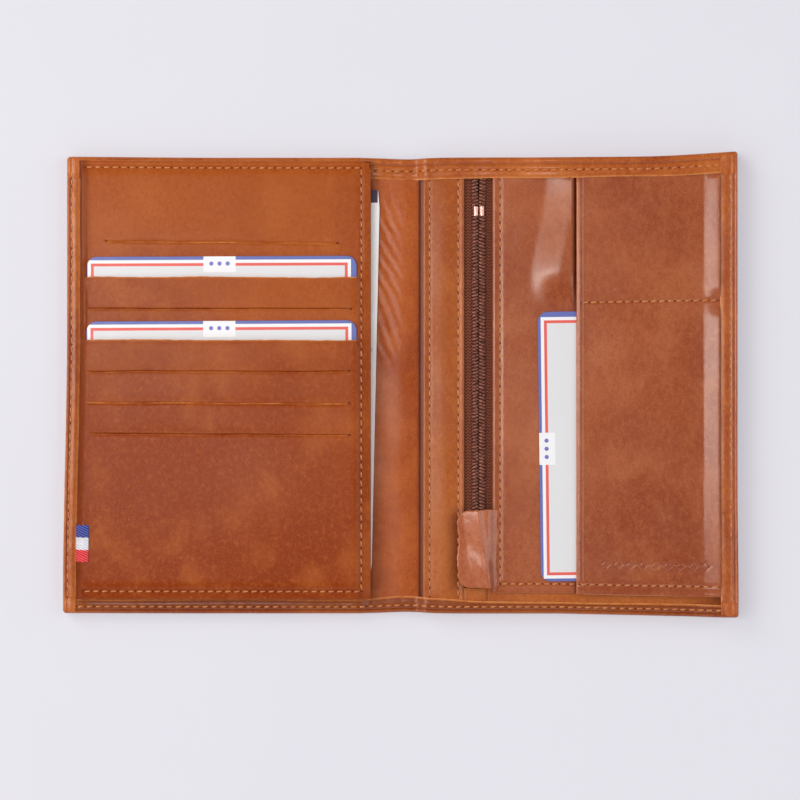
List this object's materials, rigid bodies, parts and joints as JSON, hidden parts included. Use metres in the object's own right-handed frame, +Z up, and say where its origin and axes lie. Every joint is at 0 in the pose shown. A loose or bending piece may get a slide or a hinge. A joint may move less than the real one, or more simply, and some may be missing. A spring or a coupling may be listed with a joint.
{
  "type": "travel document organizer",
  "caption": "Open leather travel wallet with a hinged page of card slots, a zipped note pocket, a divided side pocket, three cards and a booklet.",
  "frame": {"origin": "middle of the open wallet's footprint, on the surface it lies on", "axes": "+X runs from the card page to the zip side, +Y up the wallet's height, +Z up from the table to the inside of the open wallet"},
  "size_m": [0.213, 0.145, 0.0081],
  "materials": {
    "cover_leather": "pull-up cowhide, lightly glazed",
    "lining_leather": "smooth, satin",
    "panel_leather": "pull-up cowhide, lightly glazed",
    "thread": "waxed polyester",
    "slot_fabric": "woven lining",
    "zip_tape": "woven zip tape",
    "zip_nylon": "spiral coil, satin",
    "zip_metal": "rose-gold plating, polished",
    "tag_ribbon": "diagonal weave in three coloured bands",
    "card_plastic": "printed, laminated",
    "document_paper": "printed, matt"
  },
  "bodies": {
    "left_cover": {"cover_left": "cover_leather", "lining_left": "lining_leather", "document_pocket": "lining_leather", "page_hinge_strip": "lining_leather", "cover_seam_left": "thread"},
    "spine": {"cover_spine": "cover_leather", "lining_spine": "lining_leather", "cover_seam_spine": "thread"},
    "right_cover": {"cover_right": "cover_leather", "lining_right": "lining_leather", "cover_seam_right": "thread", "zip_pocket_back": "slot_fabric", "zip_pocket_front": "lining_leather", "zip_strip": "panel_leather", "zip_strip_seam": "thread", "side_panel": "panel_leather", "side_panel_seam": "thread", "side_pocket": "panel_leather", "side_pocket_seam": "thread", "zip_tape_left": "zip_tape", "zip_tape_right": "zip_tape", "zip_coil_left": "zip_nylon", "zip_coil_right": "zip_nylon", "zip_bottom_stop": "zip_metal", "zip_top_stops": "zip_metal"},
    "garage_flap": {"zip_garage_flap": "panel_leather"},
    "slider": {"zip_slider": "zip_metal", "zip_slider_bail": "zip_metal"},
    "pull": {"zip_pull": "zip_metal"},
    "card_page": {"page_back": "lining_leather", "page_front": "panel_leather", "slot_lining_1": "slot_fabric", "slot_lining_2": "slot_fabric", "slot_lining_3": "slot_fabric", "slot_lining_4": "slot_fabric", "slot_lining_5": "slot_fabric", "slot_lining_6": "slot_fabric", "slot_lining_7": "slot_fabric", "page_seam": "thread", "woven_tag": "tag_ribbon"},
    "upper_card": {"card_upper": "card_plastic"},
    "lower_card": {"card_lower": "card_plastic"},
    "end_card": {"side_card": "card_plastic"},
    "papers": {"document": "document_paper"}
  },
  "joints": [
    {"name": "left_fold", "type": "hinge", "parent": "left_cover", "child": "spine", "pos_m": [-0.00575, 0, 0.0019], "axis": [0, -1, 0], "range_deg": [0, 90]},
    {"name": "right_fold", "type": "hinge", "parent": "spine", "child": "right_cover", "pos_m": [0.00575, 0, 0.0019], "axis": [0, -1, 0], "range_deg": [0, 90]},
    {"name": "page_turn", "type": "hinge", "parent": "left_cover", "child": "card_page", "pos_m": [-0.10225, 0, 0.00465], "axis": [0, 1, 0], "range_deg": [-105, 0]},
    {"name": "upper_card_slide", "type": "slide", "parent": "card_page", "child": "upper_card", "axis": [0, -1, 0], "range_m": [-0.047, 0]},
    {"name": "lower_card_slide", "type": "slide", "parent": "card_page", "child": "lower_card", "axis": [0, -1, 0], "range_m": [-0.047, 0]},
    {"name": "document_slide", "type": "slide", "parent": "left_cover", "child": "papers", "axis": [-1, 0, 0], "range_m": [-0.012, 0]},
    {"name": "end_card_slide", "type": "slide", "parent": "right_cover", "child": "end_card", "axis": [1, 0, 0], "range_m": [-0.0125, 0]},
    {"name": "flap_lift", "type": "hinge", "parent": "right_cover", "child": "garage_flap", "pos_m": [0.03075, 0, 0.00475], "axis": [0, -1, 0], "range_deg": [-130, 0]},
    {"name": "zip_slide", "type": "slide", "parent": "right_cover", "child": "slider", "axis": [0, -1, 0], "range_m": [-0.107, 0]},
    {"name": "pull_lift", "type": "hinge", "parent": "slider", "child": "pull", "pos_m": [0.0244, -0.058, 0.0053], "axis": [-1, 0, 0], "range_deg": [-60, 0]}
  ],
  "couplings": [
    {"joint": "left_fold", "follows": "right_fold", "ratio": 1},
    {"joint": "pull_lift", "follows": "flap_lift", "ratio": 0.4615}
  ]
}
